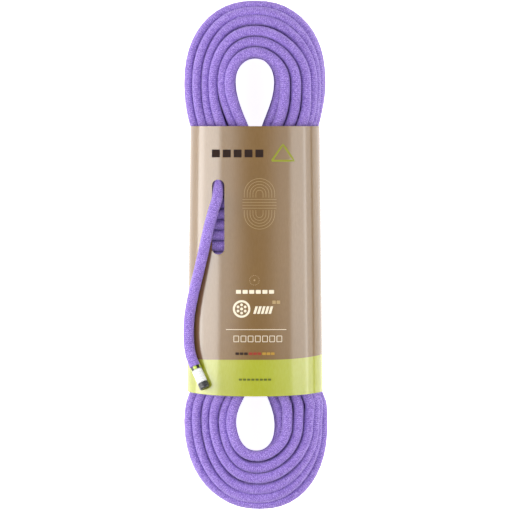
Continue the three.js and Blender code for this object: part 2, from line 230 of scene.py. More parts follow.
def lobe_points(column, level, sign, wobble):
    """A turn's way over one lobe, from one side of the waist to the other."""
    lobe = TOP if sign > 0 else BOTTOM
    apex = APEX_Y + APEX_PITCH * column
    from_front = TURNS[column] - 1 - level
    push = {0: 1.0, 1: 0.15}.get(from_front, 0.0)
    height = level / (TURNS[column] - 1)
    side = lobe_x(lobe, column)

    def place(x, y, share, apex_share, right_share):
        back = mix(LEFT_BACK[column], RIGHT_BACK[column], right_share)
        front = mix(LEFT_FRONT[column], RIGHT_FRONT[column], right_share)
        back = mix(back, APEX_BACK[column], apex_share)
        front = mix(front, APEX_FRONT[column], apex_share)
        z = mix(waist_z(column, level), mix(back, front, height) + wobble["z"], share)
        way = 1.0 if right_share > 0.5 else -1.0
        out = front_push(lobe, column, y, right_share) * push * (1 - apex_share)
        x += way * out + wobble["x"] * share
        x += lobe["lean"] * math.sqrt(apex_share) * (0.5 + 0.1 * column)
        reach = lobe["spread"] * (0.105 - z) * share * (1 - push)
        y += sign * ((lobe["apex"][column] * push + wobble["y"]) * apex_share + reach)
        return (x, y, z)

    points = []
    flare_steps = 12
    arc_steps = 24
    start_y = WAIST_END
    for i in range(flare_steps):
        y = mix(start_y, lobe["widest"], i / flare_steps)
        share = flare(lobe, column, y)
        points.append((-mix(waist_x(column), side, share), sign * y, share, 0.0, 0.0))
    for i in range(arc_steps + 1):
        angle = math.pi * (1 - i / arc_steps)
        # The outer columns' arcs have fuller shoulders than an ellipse.
        power = 0.95 - 0.08 * column / 5
        height_share = math.sin(angle) ** power
        x = math.copysign(abs(math.cos(angle)) ** power, math.cos(angle))
        across = 0.5 + 0.5 * math.cos(angle)
        points.append((side * x, sign * mix(lobe["widest"], apex, height_share), 1.0,
                       math.sin(angle) ** 2, ease(across)))
    for i in range(flare_steps - 1, -1, -1):
        y = mix(start_y, lobe["widest"], i / flare_steps)
        share = flare(lobe, column, y)
        points.append((mix(waist_x(column), side, share), sign * y, share, 0.0, 1.0))
    return [place(*p) for p in points]


def loop_points():
    """All the loops' turns, column by column, from the inner end of the rope."""
    random = np.random.default_rng(11)
    inner_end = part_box("inner_end_sealed_core")
    start_z = (inner_end[0][2] + inner_end[1][2]) / 2
    points = [(-WAIST_X, inner_end[1][1] + 0.0003, start_z), (-WAIST_X, -0.080, waist_z(0, 0))]
    for column, count in enumerate(TURNS):
        levels = range(count) if column % 2 == 0 else range(count - 1, -1, -1)
        levels = list(levels)
        for i, level in enumerate(levels):
            def wobble():
                x, y, z = random.normal(0, 0.00025, 3)
                return {"x": x, "y": y, "z": z}
            points += [(-waist_x(column), y, waist_z(column, level)) for y in (-0.02, 0.02)]
            points += lobe_points(column, level, 1, wobble())
            last = i + 1 == len(levels)
            if last and column + 1 == len(TURNS):
                break
            to_column = column + 1 if last else column
            to_level = level if not last else (0 if to_column % 2 == 0 else TURNS[to_column] - 1)
            if not last:
                to_level = levels[i + 1]
            for t in (1 / 3, 2 / 3):
                share = ease(t)
                points.append((mix(waist_x(column), waist_x(to_column), share), mix(0.06, -0.06, t),
                               mix(waist_z(column, level), waist_z(to_column, to_level), share)))
            bottom = lobe_points(to_column, to_level, -1, wobble())
            points += bottom[::-1]
    return points


def sleeve_half(y):
    return mix(0.0614, 0.0584, (y + 0.126) / 0.2419)


def wrap_section(y, steps=6):
    """A wrap's way round the waist, from its right side's middle over the front, as (x, z)."""
    half = 0.0574 * sleeve_half(y) / 0.0584 - ROPE_R
    back, front, radius = 0.0071, 0.1200, 0.0215
    points = []
    corners = [(half, front, 0), (-half, front, 1), (-half, back, 2), (half, back, 3)]
    for x, z, quarter in corners:
        cx = x - math.copysign(radius, x)
        cz = z - radius if z > WAIST_MIDDLE_Z else z + radius
        for i in range(steps + 1):
            angle = (quarter + i / steps) * math.pi / 2
            points.append((cx + radius * math.cos(angle), cz + radius * math.sin(angle)))
    return points


def slot_dip(x, z, last):
    """The wraps dip a little under the slot, and the last one more, where the tail crosses it."""
    depth = 0.0030 if last else 0.0022
    return depth * math.exp(-((x + 0.033) / 0.009) ** 2) if z > 0.1 else 0.0


def wrap_points():
    random = np.random.default_rng(5)
    points = []
    for turn in range(WRAP_COUNT):
        y = WRAP_TOP_Y - WRAP_PITCH * (WRAP_COUNT - 1 - turn) + random.normal(0, 0.00015)
        last = turn + 1 == WRAP_COUNT
        next_y = EXIT[0][1] if last else y + WRAP_PITCH
        section = wrap_section(y)
        quarter = len(section) // 4
        start_x, end_x = section[3 * quarter - 1][0], section[3 * quarter][0]
        for i, (x, z) in enumerate(section):
            if i < 3 * quarter:
                points.append((x, y, z - slot_dip(x, z, last)))
            else:
                points.append((x, next_y, z))
            if i == 2 * quarter - 1 - quarter or i == quarter - 1:
                for t in (0.2, 0.4, 0.6, 0.8):
                    front_x = mix(x, -x, t)
                    points.append((front_x, y, z - slot_dip(front_x, z, last)))
            if i == 3 * quarter - 1:
                for t in (0.2, 0.4, 0.6, 0.8):
                    points.append((mix(start_x, end_x, t), mix(y, next_y, ease(t)), z))
    return points


def spline(points, step):
    """A smooth curve through points, as a natural cubic spline sampled about every step."""
    p = np.array(points, float)
    gaps = np.linalg.norm(np.diff(p, axis=0), axis=1)
    t = np.concatenate([[0.0], np.cumsum(gaps)])
    n = len(p)
    a = np.zeros((n, n))
    b = np.zeros((n, 3))
    a[0, 0] = a[-1, -1] = 1.0
    for i in range(1, n - 1):
        a[i, i - 1] = gaps[i - 1]
        a[i, i] = 2 * (gaps[i - 1] + gaps[i])
        a[i, i + 1] = gaps[i]
        b[i] = 6 * ((p[i + 1] - p[i]) / gaps[i] - (p[i] - p[i - 1]) / gaps[i - 1])
    second = np.linalg.solve(a, b)
    s = np.linspace(0, t[-1], max(int(t[-1] / step), 2) + 1)
    k = np.clip(np.searchsorted(t, s, side="right") - 1, 0, n - 2)
    h = gaps[k][:, None]
    u = (s - t[k])[:, None]
    v = h - u
    return (second[k] * v ** 3 + second[k + 1] * u ** 3) / (6 * h) \
        + (p[k] / h - second[k] * h / 6) * v + (p[k + 1] / h - second[k + 1] * h / 6) * u


def routes():
    """The hank's part of the rope and the tail's, as arrays of points."""
    loops = loop_points()
    entry = spline([loops[-1]] + ENTRY, 0.007)[1:]
    wraps = wrap_points()
    outside = spline(EXIT + TAIL, 0.001)
    reached = int(np.argmax((outside[:, 0] < -0.02) & (outside[:, 1] < HANDOVER_Y)))
    exit_part = outside[: reached + 1][::5]
    if not np.allclose(exit_part[-1], outside[reached]):
        exit_part = np.vstack([exit_part, outside[reached]])
    hank = np.vstack([np.array(loops), entry, np.array(wraps), exit_part])
    return hank, outside[reached:]


def length_of(points):
    return float(np.linalg.norm(np.diff(points, axis=0), axis=1).sum())


hank_route, tail_route = routes()
hank_length = length_of(hank_route)

# ---------------------------------------------------------------- meshes


def link(name, mesh):
    obj = bpy.data.objects.new(name, mesh)
    bpy.context.collection.objects.link(obj)
    return obj


def frames_along(points):
    """A direction, a side and an up for each point, turning as little as possible."""
    ahead = np.gradient(points, axis=0)
    ahead /= np.linalg.norm(ahead, axis=1)[:, None]
    up = np.zeros_like(points)
    first = np.array([0.0, 0.0, 1.0])
    if abs(ahead[0] @ first) > 0.9:
        first = np.array([1.0, 0.0, 0.0])
    first = first - ahead[0] * (ahead[0] @ first)
    up[0] = first / np.linalg.norm(first)
    for i in range(1, len(points)):
        side = up[i - 1] - ahead[i] * (ahead[i] @ up[i - 1])
        up[i] = side / np.linalg.norm(side)
    return ahead, np.cross(ahead, up), up


def squeezed(points, ahead, ring):
    """Ring offsets made narrower across the rope and taller, where it is packed in a lobe."""
    share = np.clip((np.abs(points[:, 1]) - 0.100) / 0.030, 0, 1)
    share = share * share * (3 - 2 * share)
    share = share * np.interp(points[:, 0], [-0.045, -0.020, 0.020, 0.045], [1.0, 0.5, 0.2, 0.5])
    across = np.cross(ahead, [0.0, 0.0, 1.0])
    across /= np.maximum(np.linalg.norm(across, axis=1), 1e-6)[:, None]
    share = share * np.clip(1.5 - 2 * np.abs(ahead[:, 2]), 0, 1)
    tall = np.cross(across, ahead)
    in_width = np.einsum("pij,pj->pi", ring, across)
    in_height = np.einsum("pij,pj->pi", ring, tall)
    ring = ring + (share * (SQUEEZED_WIDTH - 1))[:, None, None] * in_width[:, :, None] * across[:, None, :]
    return ring + (share * (SQUEEZED_HEIGHT - 1))[:, None, None] * in_height[:, :, None] * tall[:, None, :]


def tube(name, points, sides, radius=ROPE_R, relief=None, start_run=0.0, squeeze=False):
    """A closed tube along points, with a map of (round, run in metres) on its faces."""
    points = np.asarray(points, float)
    count = len(points)
    ahead, side, up = frames_along(points)
    run = start_run + np.concatenate([[0.0], np.cumsum(np.linalg.norm(np.diff(points, axis=0), axis=1))])
    angle = np.arange(sides) / sides * 2 * math.pi
    radii = np.full((count, sides), radius)
    if relief is not None:
        radii = radius + relief(np.arange(sides)[None, :] / sides, run[:, None])
    ring = np.cos(angle)[None, :, None] * side[:, None, :] + np.sin(angle)[None, :, None] * up[:, None, :]
    if squeeze:
        ring = squeezed(points, ahead, ring)
    vertices = points[:, None, :] + ring * radii[:, :, None]
    vertices = vertices.reshape(-1, 3)
    rows = np.arange(count - 1)[:, None] * sides
    here = np.arange(sides)[None, :]
    there = (here + 1) % sides
    quads = np.stack([rows + here, rows + there, rows + sides + there, rows + sides + here], axis=-1)
    quads = quads.reshape(-1, 4)
    faces = quads.tolist()
    faces.append(list(range(sides))[::-1])
    faces.append([(count - 1) * sides + i for i in range(sides)])
    mesh = bpy.data.meshes.new(name)
    mesh.from_pydata(vertices.tolist(), [], faces)
    layer = mesh.uv_layers.new(name="lay")
    round_low = np.broadcast_to(here / sides, (count - 1, sides))
    run_low = np.broadcast_to(run[:-1, None], (count - 1, sides))
    run_high = np.broadcast_to(run[1:, None], (count - 1, sides))
    step = 1 / sides
    uv = np.stack([
        np.stack([round_low, run_low], -1), np.stack([round_low + step, run_low], -1),
        np.stack([round_low + step, run_high], -1), np.stack([round_low, run_high], -1)], axis=2)
    uv = uv.reshape(-1, 2)
    caps = np.zeros((2 * sides, 2))
    caps[:sides, 1] = run[0]
    caps[sides:, 1] = run[-1]
    layer.data.foreach_set("uv", np.vstack([uv, caps]).astype(np.float32).ravel())
    mesh.polygons.foreach_set("use_smooth", [True] * len(quads) + [False] * 2)
    mesh.update()
    return link(name, mesh)


# The sheath is braided from strands in both directions, CARRIERS each way round.
CARRIERS = 20
BRAID_LEAD = 0.038


def braid_relief(around, run):
    """How far the braid's strands stand out or in, in metres, on the tail's fine mesh."""
    p = around * CARRIERS + run * CARRIERS / BRAID_LEAD
    q = around * CARRIERS - run * CARRIERS / BRAID_LEAD
    over = (np.floor(p) + np.floor(q)) % 2 < 1
    fp, fq = p - np.floor(p), q - np.floor(q)
    across = np.where(over, fp, fq)
    along = np.where(over, fq, fp)
    dome = np.sqrt(np.clip(1 - (2 * across - 1) ** 2, 0, 1)) * (0.55 + 0.45 * np.sin(math.pi * along))
    return 0.00016 * (dome - 1.0)


def finer(points, step):
    """The same route with points about every step."""
    run = np.concatenate([[0.0], np.cumsum(np.linalg.norm(np.diff(points, axis=0), axis=1))])
    even = np.linspace(0, run[-1], int(run[-1] / step) + 1)
    return np.stack([np.interp(even, run, points[:, axis]) for axis in range(3)], axis=1)


hank_rope = tube("climbing_rope_hank", hank_route, 14, squeeze=True)
tail_rope = tube("climbing_rope_tail", finer(tail_route, 0.0005), 80, relief=braid_relief,
                 start_run=hank_length)


# ---------------------------------------------------------------- materials


class Nodes:
    """Builds one material's node tree."""

    def __init__(self, name):
        self.material = bpy.data.materials.new(name)
        self.material.use_nodes = True
        self.tree = self.material.node_tree
        self.shader = self.tree.nodes["Principled BSDF"]

    def feed(self, node, key, value):
        socket = node.inputs[key]
        if isinstance(value, bpy.types.NodeSocket):
            self.tree.links.new(value, socket)
        else:
            socket.default_value = value

    def node(self, kind, inputs=None, **settings):
        node = self.tree.nodes.new(kind)
        for key, value in settings.items():
            setattr(node, key, value)
        for key, value in (inputs or {}).items():
            self.feed(node, key, value)
        return node

    def math(self, operation, a, b=0.0, c=0.0):
        return self.node("ShaderNodeMath", {0: a, 1: b, 2: c}, operation=operation).outputs[0]

    def place(self, scale=(1, 1, 1)):
        where = self.node("ShaderNodeTexCoord").outputs["Object"]
        return self.node("ShaderNodeMapping", {"Vector": where, "Scale": scale}).outputs[0]

    def lay(self):
        """The map on the rope: how far round it, and how far along it."""
        return self.node("ShaderNodeUVMap", uv_map="lay").outputs[0]

    def apart(self, vector):
        return self.node("ShaderNodeSeparateXYZ", {0: vector}).outputs

    def noise(self, vector, scale, detail=3.0, roughness=0.55):
        inputs = {"Vector": vector, "Scale": scale, "Detail": detail, "Roughness": roughness}
        return self.node("ShaderNodeTexNoise", inputs).outputs[0]

    def mix(self, share, a, b):
        inputs = {0: share, 6: a, 7: b}
        return self.node("ShaderNodeMix", inputs, data_type="RGBA").outputs[2]

    def range(self, value, low, high, to_low=0.0, to_high=1.0):
        inputs = {0: value, 1: low, 2: high, 3: to_low, 4: to_high}
        return self.node("ShaderNodeMapRange", inputs, interpolation_type="SMOOTHSTEP").outputs[0]

    def bump(self, height, distance, strength=1.0, normal=None):
        inputs = {"Height": height, "Distance": distance, "Strength": strength}
        if normal is not None:
            inputs["Normal"] = normal
        return self.node("ShaderNodeBump", inputs).outputs[0]

    def shade(self, **inputs):
        for key, value in inputs.items():
            self.feed(self.shader, key.replace("_", " ").title().replace("Ior", "IOR"), value)
        return self.material


def rgb(r, g, b):
    return (r, g, b, 1.0)


def sheath_material(name, relief=0.00022):
    """Braided polyamide, with painted shade in the hollows between its strands. The map on the rope gives
    the way round it and the run along it.
    """
    n = Nodes(name)
    lay = n.apart(n.lay())
    around = n.math("MULTIPLY", lay[0], float(CARRIERS))
    run = n.math("MULTIPLY", lay[1], CARRIERS / BRAID_LEAD)
    p = n.math("ADD", around, run)
    q = n.math("SUBTRACT", around, run)
    fp, fq = n.math("FRACT", p), n.math("FRACT", q)
    ip, iq = n.math("FLOOR", p), n.math("FLOOR", q)
    over = n.math("FLOORED_MODULO", n.math("ADD", ip, iq), 2.0)
    across = n.math("MULTIPLY_ADD", n.math("SUBTRACT", fq, fp), over, fp)
    along = n.math("MULTIPLY_ADD", n.math("SUBTRACT", fp, fq), over, fq)
    side = n.math("MULTIPLY_ADD", across, 2.0, -1.0)
    dome = n.math("SQRT", n.math("MAXIMUM", n.math("SUBTRACT", 1.0, n.math("MULTIPLY", side, side)), 0.0))
    hump = n.math("MULTIPLY_ADD", n.math("SINE", n.math("MULTIPLY", along, math.pi)), 0.5, 0.5)
    height = n.math("MULTIPLY", dome, hump)
    yarns = n.math("SINE", n.math("MULTIPLY", across, 6 * math.pi))
    height_yarn = n.math("MULTIPLY_ADD", yarns, 0.10, height)
    which = n.math("MULTIPLY_ADD", n.math("SUBTRACT", iq, ip), over, ip)
    strand = n.math("FLOORED_MODULO", which, float(CARRIERS))
    tint = n.node("ShaderNodeTexWhiteNoise", {"W": strand}, noise_dimensions="1D").outputs[0]
    cloud = n.noise(n.place(), 45.0, 2.0)
    fibre = n.noise(n.place(), 2600.0, 2.0)
    fuzz = n.noise(n.place(), 620.0, 2.0, 0.7)
    # Painted shade: where the braid's strands and yarns sink low, the colour goes to a dark purple, standing
    # in for the shade in the hollows between them.
    painted_valley_shade = rgb(0.060, 0.022, 0.225)
    crown = n.mix(tint, rgb(0.320, 0.200, 0.700), rgb(0.520, 0.365, 0.900))
    crown = n.mix(n.math("MULTIPLY", over, 0.70), crown, rgb(0.215, 0.110, 0.540))
    crown = n.mix(n.range(cloud, 0.35, 0.65, 0.0, 0.25), crown, rgb(0.300, 0.180, 0.680))
    crown = n.mix(n.range(fuzz, 0.49, 0.70, 0.0, 0.85), crown, rgb(0.150, 0.068, 0.420))
    crown = n.mix(n.range(fuzz, 0.30, 0.49, 0.75, 0.0), crown, rgb(0.620, 0.470, 0.960))
    unshaded_share = n.range(height_yarn, 0.20, 0.80)
    colour = n.mix(unshaded_share, painted_valley_shade, crown)
    colour = n.mix(n.range(fibre, 0.3, 0.7, 0.0, 0.16), colour, rgb(0.60, 0.45, 0.95))
    normal = n.bump(height_yarn, relief, 0.9)
    normal = n.bump(fibre, 0.00003, 0.5, normal)
    return n.shade(base_color=colour, roughness=0.62, sheen_weight=0.35, sheen_roughness=0.45,
                   sheen_tint=rgb(0.80, 0.70, 1.0), specular_ior_level=0.35, normal=normal)


KRAFT = rgb(0.176, 0.087, 0.013)
LIME = rgb(0.355, 0.372, 0.002)
BAND_TOP_Y = -0.0931
BAND_RISE = 1.43


def board_face_material():
    """Brown board with a satin varnish and a lime band printed along its bottom end."""
    n = Nodes("board_face")
    grain = n.noise(n.place((1.0, 0.22, 1.0)), 900.0, 4.0, 0.6)
    cloud = n.noise(n.place((1.0, 0.35, 1.0)), 26.0, 3.0)
    fleck = n.noise(n.place((1.0, 0.5, 1.0)), 2600.0, 1.0)
    brown = n.mix(n.range(grain, 0.3, 0.7, 0.0, 0.45), KRAFT, rgb(0.225, 0.125, 0.030))
    brown = n.mix(n.range(cloud, 0.35, 0.7, 0.0, 0.5), brown, rgb(0.165, 0.084, 0.016))
    brown = n.mix(n.range(fleck, 0.68, 0.76, 0.0, 0.35), brown, rgb(0.12, 0.07, 0.03))
    lime = n.mix(n.range(cloud, 0.35, 0.7, 0.0, 0.35), LIME, rgb(0.33, 0.375, 0.003))
    lime = n.mix(n.range(grain, 0.3, 0.7, 0.0, 0.12), lime, rgb(0.55, 0.62, 0.12))
    where = n.apart(n.node("ShaderNodeTexCoord").outputs["Object"])
    right = n.math("MAXIMUM", n.math("SUBTRACT", where[0], 0.010), 0.0)
    level = n.math("MULTIPLY_ADD", n.math("MULTIPLY", right, right), -BAND_RISE, where[1])
    printed = n.range(level, BAND_TOP_Y - 0.00015, BAND_TOP_Y + 0.00015, 1.0, 0.0)
    colour = n.mix(printed, brown, lime)
    rough = n.range(grain, 0.3, 0.7, 0.33, 0.43)
    normal = n.bump(grain, 0.00002, 0.35)
    normal = n.bump(cloud, 0.0016, 0.35, normal)
    return n.shade(base_color=colour, roughness=rough, specular_ior_level=0.12, coat_weight=1.0,
                   coat_roughness=0.20, coat_ior=1.8, normal=normal)


def board_inside_material():
    n = Nodes("board_inside")
    grain = n.noise(n.place((1.0, 0.22, 1.0)), 900.0, 4.0, 0.6)
    colour = n.mix(n.range(grain, 0.3, 0.7), rgb(0.30, 0.205, 0.11), rgb(0.38, 0.27, 0.155))
    return n.shade(base_color=colour, roughness=0.85, normal=n.bump(grain, 0.00003, 0.5))


def board_edge_material():
    n = Nodes("board_edge")
    plies = n.noise(n.place((1.0, 1.0, 1.0)), 1800.0, 2.0)
    colour = n.mix(n.range(plies, 0.3, 0.7), rgb(0.52, 0.42, 0.27), rgb(0.68, 0.58, 0.42))
    return n.shade(base_color=colour, roughness=0.9, normal=n.bump(plies, 0.00004, 0.6))


def ink_material(name, colour, worn=0.12):
    """Printing ink on the board, a little broken up by the board's grain."""
    n = Nodes(name)
    grain = n.noise(n.place((1.0, 0.3, 1.0)), 1500.0, 3.0)
    mixed = n.mix(n.range(grain, 0.55, 0.8, 0.0, worn * 4), colour, rgb(0.28, 0.18, 0.09))
    return n.shade(base_color=mixed, roughness=0.6, specular_ior_level=0.15,
                   normal=n.bump(grain, 0.00002, 0.3))


def label_material():
    """White paper with rows of short printed bars."""
    n = Nodes("label_paper")
    lay = n.apart(n.lay())
    rows = n.math("FRACT", n.math("MULTIPLY", lay[1], 420.0))
    row_ink = n.range(rows, 0.62, 0.68)
    stretched = n.node("ShaderNodeMapping", {"Vector": n.lay(), "Scale": (30.0, 3.0, 1.0)})
    bars = n.noise(stretched.outputs[0], 1.6, 1.0)
    ink = n.math("MULTIPLY", row_ink, n.range(bars, 0.50, 0.54))
    ink = n.math("MULTIPLY", ink, n.range(n.math("PINGPONG", lay[0], 0.5), 0.12, 0.16))
    pulp = n.noise(n.place(), 1800.0, 3.0)
    paper = n.mix(n.range(pulp, 0.3, 0.7), rgb(0.84, 0.84, 0.82), rgb(0.92, 0.92, 0.91))
    colour = n.mix(n.math("MULTIPLY", ink, 0.55), paper, rgb(0.25, 0.25, 0.27))
    return n.shade(base_color=colour, roughness=0.6, normal=n.bump(pulp, 0.00002, 0.4))


def band_material():
    """The printed band: lime with dark blocks round it."""
    n = Nodes("marker_band")
    lay = n.apart(n.lay())
    blocks = n.math("FRACT", n.math("MULTIPLY", lay[0], 5.0))
    dark = n.range(blocks, 0.48, 0.52)
    speck = n.noise(n.place(), 1500.0, 2.0)
    lime = n.mix(n.range(speck, 0.3, 0.7), rgb(0.42, 0.55, 0.05), rgb(0.52, 0.65, 0.10))
    colour = n.mix(dark, lime, rgb(0.015, 0.016, 0.014))
    return n.shade(base_color=colour, roughness=0.35, coat_weight=0.5, coat_roughness=0.12,
                   normal=n.bump(speck, 0.00002, 0.3))


def film_material():
    n = Nodes("clear_film")
    ripple = n.noise(n.place(), 420.0, 2.0)
    dust = n.mix(n.range(ripple, 0.3, 0.7), rgb(0.95, 0.96, 0.97), rgb(0.88, 0.90, 0.92))
    return n.shade(base_color=dust, roughness=0.12, alpha=0.16, ior=1.45,
                   normal=n.bump(ripple, 0.00025, 0.5))


def cap_material():
    n = Nodes("dipped_cap")
    skin = n.noise(n.place(), 900.0, 3.0)
    colour = n.mix(n.range(skin, 0.35, 0.7), rgb(0.010, 0.010, 0.012), rgb(0.028, 0.028, 0.032))
    return n.shade(base_color=colour, roughness=0.30, coat_weight=0.6, coat_roughness=0.18,
                   normal=n.bump(skin, 0.00006, 0.5))


def core_material():
    n = Nodes("core_strands")
    twist = n.noise(n.place((1.0, 4.0, 1.0)), 700.0, 2.0)
    colour = n.mix(n.range(twist, 0.3, 0.7), rgb(0.72, 0.70, 0.64), rgb(0.88, 0.87, 0.83))
    return n.shade(base_color=colour, roughness=0.8, sheen_weight=0.2, normal=n.bump(twist, 0.0001, 0.6))


def glue_material():
    n = Nodes("hot_glue")
    bead = n.noise(n.place((1.0, 0.2, 1.0)), 300.0, 2.0)
    colour = n.mix(n.range(bead, 0.3, 0.7), rgb(0.60, 0.48, 0.28), rgb(0.72, 0.62, 0.42))
    return n.shade(base_color=colour, roughness=0.35, normal=n.bump(bead, 0.0002, 0.5))


def set_material(obj, *materials):
    obj.data.materials.clear()
    for material in materials:
        obj.data.materials.append(material)


SHEATH = sheath_material("sheath")
set_material(hank_rope, SHEATH)
set_material(tail_rope, SHEATH)

# ---------------------------------------------------------------- the board sleeve

SLEEVE_TOP = 0.1159
SLEEVE_BOTTOM = -0.126
SLEEVE_HALF = 0.0584
SLEEVE_FRONT = 0.1258
CORNER = 0.027
BOARD = 0.0007
FLAP_STEP = 0.0012
FLAP_HALF = 0.014
FLAP_RAMP = 0.008
SLOT_X = -0.0329
SLOT_TOP = 0.0681
SLOT_BOTTOM = 0.0012
SLOT_WIDTH = 0.011
SLOT_MARGIN = 0.001
CROWN_RISE = 0.0016
CROWN_HALF = 0.045
EDGE_RISE = 0.0033
EDGE_HALF = 0.0614
SLEEVE_ROWS = 30
OUTSIDE, INSIDE, EDGE = 0, 1, 2


def crown(x):
    """How far the board's front bulges out at x, over what is packed in it."""
    return CROWN_RISE * max(1 - (x / CROWN_HALF) ** 2, 0.0) ** 2


def bottom_edge(x):
    """The board's bottom edge is cut in a shallow curve."""
    return SLEEVE_BOTTOM + EDGE_RISE * (x / EDGE_HALF) ** 2


def sleeve_line():
    """The board's outer line round the pack at its top end, as (x, z, normal x, normal z)."""
    line = []

    def run(start, end, normal, steps):
        for i in range(steps):
            t = i / steps
            line.append((mix(start[0], end[0], t), mix(start[1], end[1], t), *normal))

    def corner(cx, cz, from_degrees, steps=16):
        for i in range(steps):
            angle = math.radians(from_degrees + 90 * i / steps)
            x, z = math.cos(angle), math.sin(angle)
            line.append((cx + CORNER * x, cz + CORNER * z, x, z))

    inner = SLEEVE_HALF - CORNER
    high = SLEEVE_FRONT - CORNER
    run((-FLAP_HALF, 0.0), (inner, 0.0), (0.0, -1.0), 8)
    corner(inner, CORNER, -90)
    run((SLEEVE_HALF, CORNER), (SLEEVE_HALF, high), (1.0, 0.0), 10)
    corner(inner, high, 0)
    run((inner, SLEEVE_FRONT), (-inner, SLEEVE_FRONT), (0.0, 1.0), 24)
    corner(-inner, high, 90)
    run((-SLEEVE_HALF, high), (-SLEEVE_HALF, CORNER), (-1.0, 0.0), 10)
    corner(-inner, CORNER, 180)
    ramp_start = -FLAP_HALF - FLAP_RAMP
    ramp_end = -FLAP_HALF - 0.001
    run((-inner, 0.0), (ramp_start, 0.0), (0.0, -1.0), 3)
    for i in range(8):
        share = ease(i / 8)
        line.append((mix(ramp_start, ramp_end, i / 8), FLAP_STEP * share, 0.0, -1.0))
    run((ramp_end, FLAP_STEP), (FLAP_HALF, FLAP_STEP), (0.0, -1.0), 6)
    line.append((FLAP_HALF, FLAP_STEP, 0.0, -1.0))
    return line


def prism(name, outline, low, high):
    """A closed upright prism over an outline in X and Y."""
    mesh = bpy.data.meshes.new(name)
    built = bmesh.new()
    bottom = [built.verts.new((x, y, low)) for x, y in outline]
    face = built.faces.new(bottom)
    extruded = bmesh.ops.extrude_face_region(built, geom=[face])["geom"]
    moved = [v for v in extruded if isinstance(v, bmesh.types.BMVert)]
    bmesh.ops.translate(built, verts=moved, vec=(0, 0, high - low))
    bmesh.ops.recalc_face_normals(built, faces=built.faces)
    built.to_mesh(mesh)
    built.free()
    return link(name, mesh)


def slot_outline():
    radius = SLOT_WIDTH / 2
    outline = []
    for cy, start in ((SLOT_TOP - radius, 0), (SLOT_BOTTOM + radius, 180)):
        for i in range(17):
            angle = math.radians(start + 180 * i / 16)
            outline.append((SLOT_X + radius * math.cos(angle), cy + radius * math.sin(angle)))
    return outline


def sleeve_mesh():
    """The folded board as a closed shell, with its outside, inside and edges as three materials."""
    line = sleeve_line()
    rows = SLEEVE_ROWS
    count = len(line)
    vertices, faces, slots = [], [], []
    for layer in (0, 1):
        for row in range(rows + 1):
            for x, z, nx, nz in line:
                y = mix(bottom_edge(x), SLEEVE_TOP, row / rows)
                wider = sleeve_half(y) / SLEEVE_HALF
                depth = BOARD * layer
                bulge = crown(x) if z > SLEEVE_FRONT - 0.012 else 0.0
                vertices.append(((x - nx * depth) * wider, y, z - nz * depth + bulge))

    def at(layer, row, i):
        return (layer * (rows + 1) + row) * count + i

    def add(corners, turned, slot):
        faces.append(corners[::-1] if turned else corners)
        slots.append(slot)

    for row in range(rows):
        for i in range(count - 1):
            for layer, slot in ((0, OUTSIDE), (1, INSIDE)):
                low = at(layer, row, i)
                high = at(layer, row + 1, i)
                add((low, low + 1, high + 1, high), layer == 0, slot)
        for i, turned in ((0, False), (count - 1, True)):
            add((at(0, row, i), at(0, row + 1, i), at(1, row + 1, i), at(1, row, i)), turned, EDGE)
    for i in range(count - 1):
        for row, turned in ((0, True), (rows, False)):
            add((at(0, row, i), at(1, row, i), at(1, row, i + 1), at(0, row, i + 1)), turned, EDGE)
    mesh = bpy.data.meshes.new("kraft_sleeve")
    mesh.from_pydata(vertices, [], faces)
    mesh.polygons.foreach_set("material_index", slots)
    built = bmesh.new()
    built.from_mesh(mesh)
    bmesh.ops.recalc_face_normals(built, faces=built.faces)
    built.to_mesh(mesh)
    built.free()
    return mesh


def cut_slot(sleeve):
    cutter = prism("slot_cutter", slot_outline(), SLEEVE_FRONT - 0.01, SLEEVE_FRONT + 0.01)
    cut = sleeve.modifiers.new("slot", "BOOLEAN")
    cut.operation = "DIFFERENCE"
    cut.object = cutter
    cut.solver = "EXACT"
    bpy.context.view_layer.update()
    evaluated = sleeve.evaluated_get(bpy.context.evaluated_depsgraph_get())
    sleeve.data = bpy.data.meshes.new_from_object(evaluated)
    sleeve.modifiers.clear()
    bpy.data.objects.remove(cutter)


def in_slot(x, y, z):
    across = abs(x - SLOT_X) < SLOT_WIDTH / 2 + SLOT_MARGIN
    return across and SLOT_BOTTOM - SLOT_MARGIN < y < SLOT_TOP + SLOT_MARGIN and z > SLEEVE_FRONT - 0.002


def make_sleeve():
    sleeve = link("kraft_sleeve", sleeve_mesh())
    cut_slot(sleeve)
    set_material(sleeve, board_face_material(), board_inside_material(), board_edge_material())
    for polygon in sleeve.data.polygons:
        if in_slot(*polygon.center) and abs(polygon.normal.z) < 0.5:
            polygon.material_index = EDGE
        polygon.use_smooth = True
    sleeve.data.set_sharp_from_angle(angle=math.radians(40))
    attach(sleeve, "sleeve")
    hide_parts("board_sleeve")


make_sleeve()
set_material(bpy.data.objects["sleeve_glue_strip"], glue_material())

# ---------------------------------------------------------------- printing on the sleeve's front

# Plain marks only: bars and blocks where the real sleeve has words, and simple signs of a rope.
INK_LIFT = 0.00007


def face_z(x):
    return SLEEVE_FRONT + crown(x) + INK_LIFT


def print_mesh(name, polygons, material):
    """Flat shapes on the board's front, from polygons given in millimetres."""
    vertices, faces = [], []
    for polygon in polygons:
        start = len(vertices)
        for x, y in polygon:
            vertices.append((x * MM, y * MM, face_z(x * MM)))
        faces.append(tuple(range(start, len(vertices))))
    mesh = bpy.data.meshes.new(name)
    mesh.from_pydata(vertices, [], faces)
    built = bmesh.new()
    built.from_mesh(mesh)
    for face in built.faces:
        face.normal_update()
        if face.normal.z < 0:
            face.normal_flip()
    built.to_mesh(mesh)
    built.free()
    printed = link(name, mesh)
    set_material(printed, material)
    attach(printed, "sleeve")
    return printed


